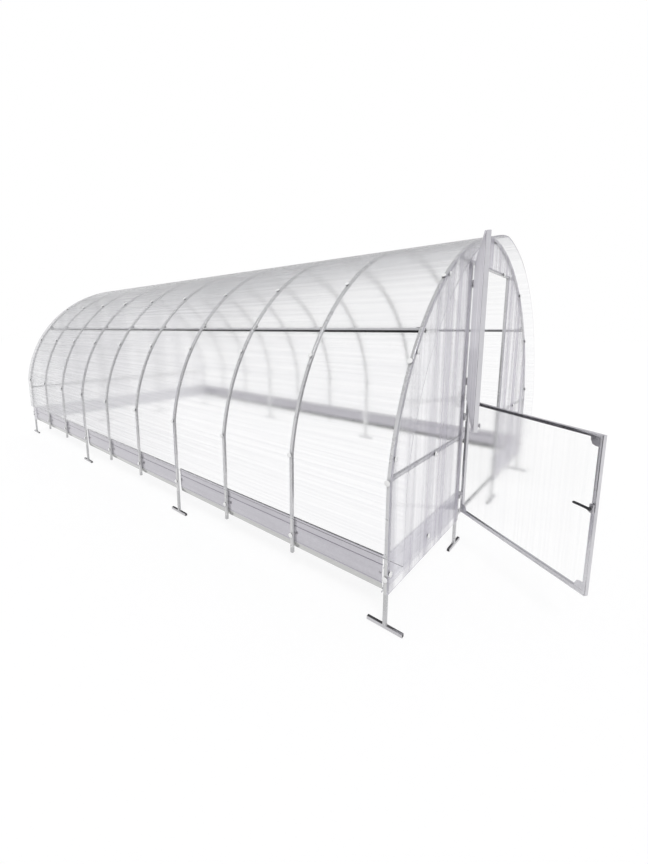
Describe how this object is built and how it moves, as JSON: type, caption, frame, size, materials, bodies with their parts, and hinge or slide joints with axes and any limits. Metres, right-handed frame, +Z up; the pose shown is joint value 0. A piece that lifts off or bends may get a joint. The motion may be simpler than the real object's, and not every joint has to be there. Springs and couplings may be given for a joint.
{
  "type": "polycarbonate greenhouse",
  "caption": "Tunnel greenhouse of arched square steel tubes under clear twin-wall sheets, with low galvanised base boards and a door of two stacked leaves in one end wall",
  "frame": {"origin": "middle of the footprint at ground level, measured over the roof overhangs and the open lower leaf", "axes": "X across the house to the right of someone facing the door, Y along the house from the door end to the rear, Z up"},
  "size_m": [3.0328, 6.9224, 2.2363],
  "materials": {
    "galvanised_tube": "zinc-coated square steel tube, satin",
    "galvanised_board": "folded galvanised sheet steel, glossy",
    "clear_sheet": "clear twin-wall polycarbonate, glossy, with fine parallel ribs",
    "dark_fittings": "black powder-coated steel fittings"
  },
  "bodies": {
    "greenhouse": {"arch_1": "galvanised_tube", "arch_2": "galvanised_tube", "arch_3": "galvanised_tube", "arch_4": "galvanised_tube", "arch_5": "galvanised_tube", "arch_6": "galvanised_tube", "arch_7": "galvanised_tube", "arch_8": "galvanised_tube", "arch_9": "galvanised_tube", "arch_10": "galvanised_tube", "left_purlin": "galvanised_tube", "right_purlin": "galvanised_tube", "purlin_clips": "dark_fittings", "ridge_straps": "dark_fittings", "left_base_boards": "galvanised_board", "right_base_boards": "galvanised_board", "front_left_base_board": "galvanised_board", "front_right_base_board": "galvanised_board", "rear_base_board": "galvanised_board", "left_ground_feet": "galvanised_tube", "right_ground_feet": "galvanised_tube", "post_ground_feet": "galvanised_tube", "front_left_post": "galvanised_tube", "front_right_post": "galvanised_tube", "front_lintel": "galvanised_tube", "front_crossbars": "galvanised_tube", "door_threshold": "galvanised_tube", "rear_posts": "galvanised_tube", "rear_lintel": "galvanised_tube", "rear_crossbar": "galvanised_tube", "front_cover": "clear_sheet", "middle_cover": "clear_sheet", "rear_cover": "clear_sheet", "front_left_sheet": "clear_sheet", "front_right_sheet": "clear_sheet", "front_transom_sheet": "clear_sheet", "rear_end_sheets": "clear_sheet", "door_hinge_pins": "galvanised_tube"},
    "lower_leaf": {"lower_leaf_frame": "galvanised_tube", "lower_leaf_sheet": "clear_sheet", "latch_case": "dark_fittings"},
    "upper_leaf": {"upper_leaf_frame": "galvanised_tube", "upper_leaf_sheet": "clear_sheet", "pull_knob": "dark_fittings"},
    "handle": {"lever_handle": "dark_fittings"}
  },
  "joints": [
    {"name": "lower_leaf_swing", "type": "hinge", "parent": "greenhouse", "child": "lower_leaf", "pos_m": [-0.47, -2.6618, 0], "axis": [0, 0, 1], "range_deg": [-47, 123]},
    {"name": "upper_leaf_swing", "type": "hinge", "parent": "greenhouse", "child": "upper_leaf", "pos_m": [-0.47, -2.6618, 0], "axis": [0, 0, 1], "range_deg": [-3.5, 160.5]},
    {"name": "handle_turn", "type": "hinge", "parent": "lower_leaf", "child": "handle", "pos_m": [-0.97237, -3.43849, 0.725], "axis": [-0.8387, 0.5446, 0], "range_deg": [0, 45]}
  ]
}
